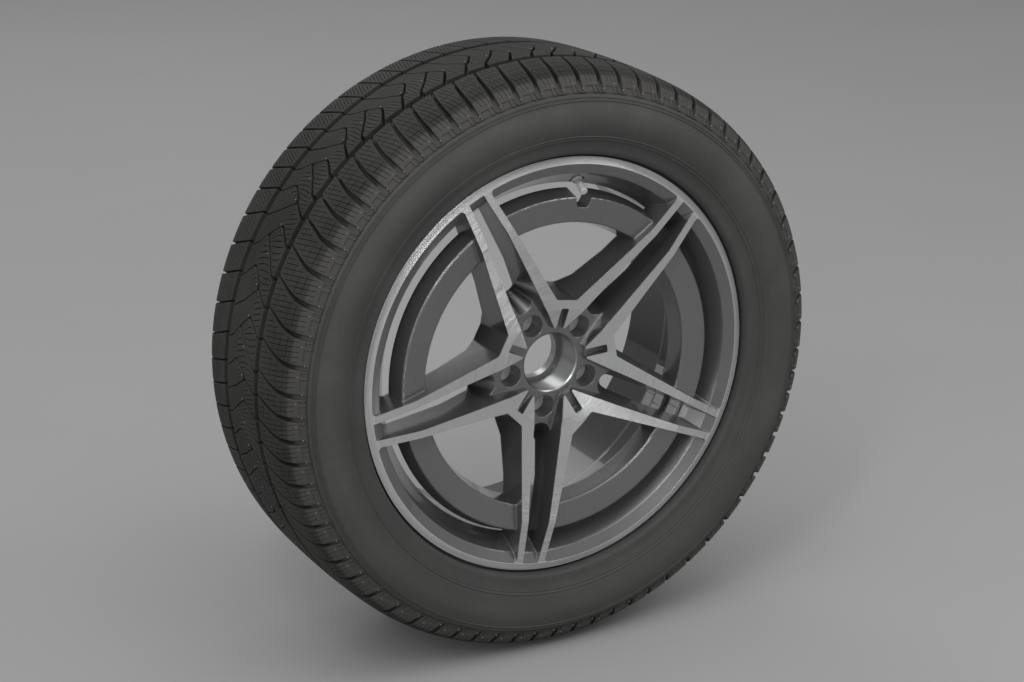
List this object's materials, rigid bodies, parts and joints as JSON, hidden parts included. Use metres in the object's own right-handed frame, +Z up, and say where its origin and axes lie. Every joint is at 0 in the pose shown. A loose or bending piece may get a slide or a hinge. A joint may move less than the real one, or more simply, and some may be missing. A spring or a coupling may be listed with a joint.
{
  "type": "wheel and tyre assembly",
  "caption": "Cast alloy car wheel with machined twin spokes and a set-back ring, carrying a grooved winter tyre, tyre valve, pressure sensor and stick-on balance weights.",
  "frame": {"origin": "centre of the tyre, on the axle at the wheel's middle plane", "axes": "+Y along the axle towards the car, so the outer face looks along -Y; +Z up"},
  "size_m": [0.7379, 0.2659, 0.738],
  "materials": {
    "wheel_paint": "satin",
    "tyre_rubber": "matte",
    "valve_metal": "satin",
    "seal_rubber": "matte",
    "core_brass": "satin",
    "spring_steel": "satin",
    "cap_metal": "satin",
    "sensor_plastic": "matte",
    "weight_steel": "satin",
    "tape": "matte"
  },
  "bodies": {
    "wheel": {"alloy_wheel": "wheel_paint", "tyre": "tyre_rubber", "valve_stem": "valve_metal", "valve_grommet": "seal_rubber", "valve_washer": "valve_metal", "valve_nut": "valve_metal", "valve_core_body": "core_brass", "valve_core_packing": "seal_rubber", "valve_core_spring": "spring_steel", "pressure_sensor": "sensor_plastic", "sensor_screw": "spring_steel", "weight_outer": "weight_steel", "weight_middle": "weight_steel", "weight_inner": "weight_steel", "weight_tape_outer": "tape", "weight_tape_middle": "tape", "weight_tape_inner": "tape"},
    "cap_carrier": {"valve_cap_seal": "seal_rubber"},
    "cap": {"valve_cap": "cap_metal"},
    "core_pin": {"valve_core_pin": "core_brass", "valve_core_seal": "seal_rubber"}
  },
  "joints": [
    {"name": "cap_lift", "type": "slide", "parent": "wheel", "child": "cap_carrier", "axis": [-0.0769, -0.8796, -0.4694], "range_m": [0, 0.00556]},
    {"name": "cap_turn", "type": "hinge", "parent": "cap_carrier", "child": "cap", "pos_m": [0.03733, -0.082, 0.22796], "axis": [-0.0769, -0.8796, -0.4694], "range_deg": [0, 2520]},
    {"name": "pin_press", "type": "slide", "parent": "wheel", "child": "core_pin", "axis": [0.0769, 0.8796, 0.4694], "range_m": [0, 0.0015], "stiffness_N_per_m": 1500, "springref_m": -0.0005, "deforming": ["valve_core_spring"]}
  ],
  "couplings": [
    {"joint": "cap_turn", "follows": "cap_lift", "rad_per_m": 7915.8}
  ]
}
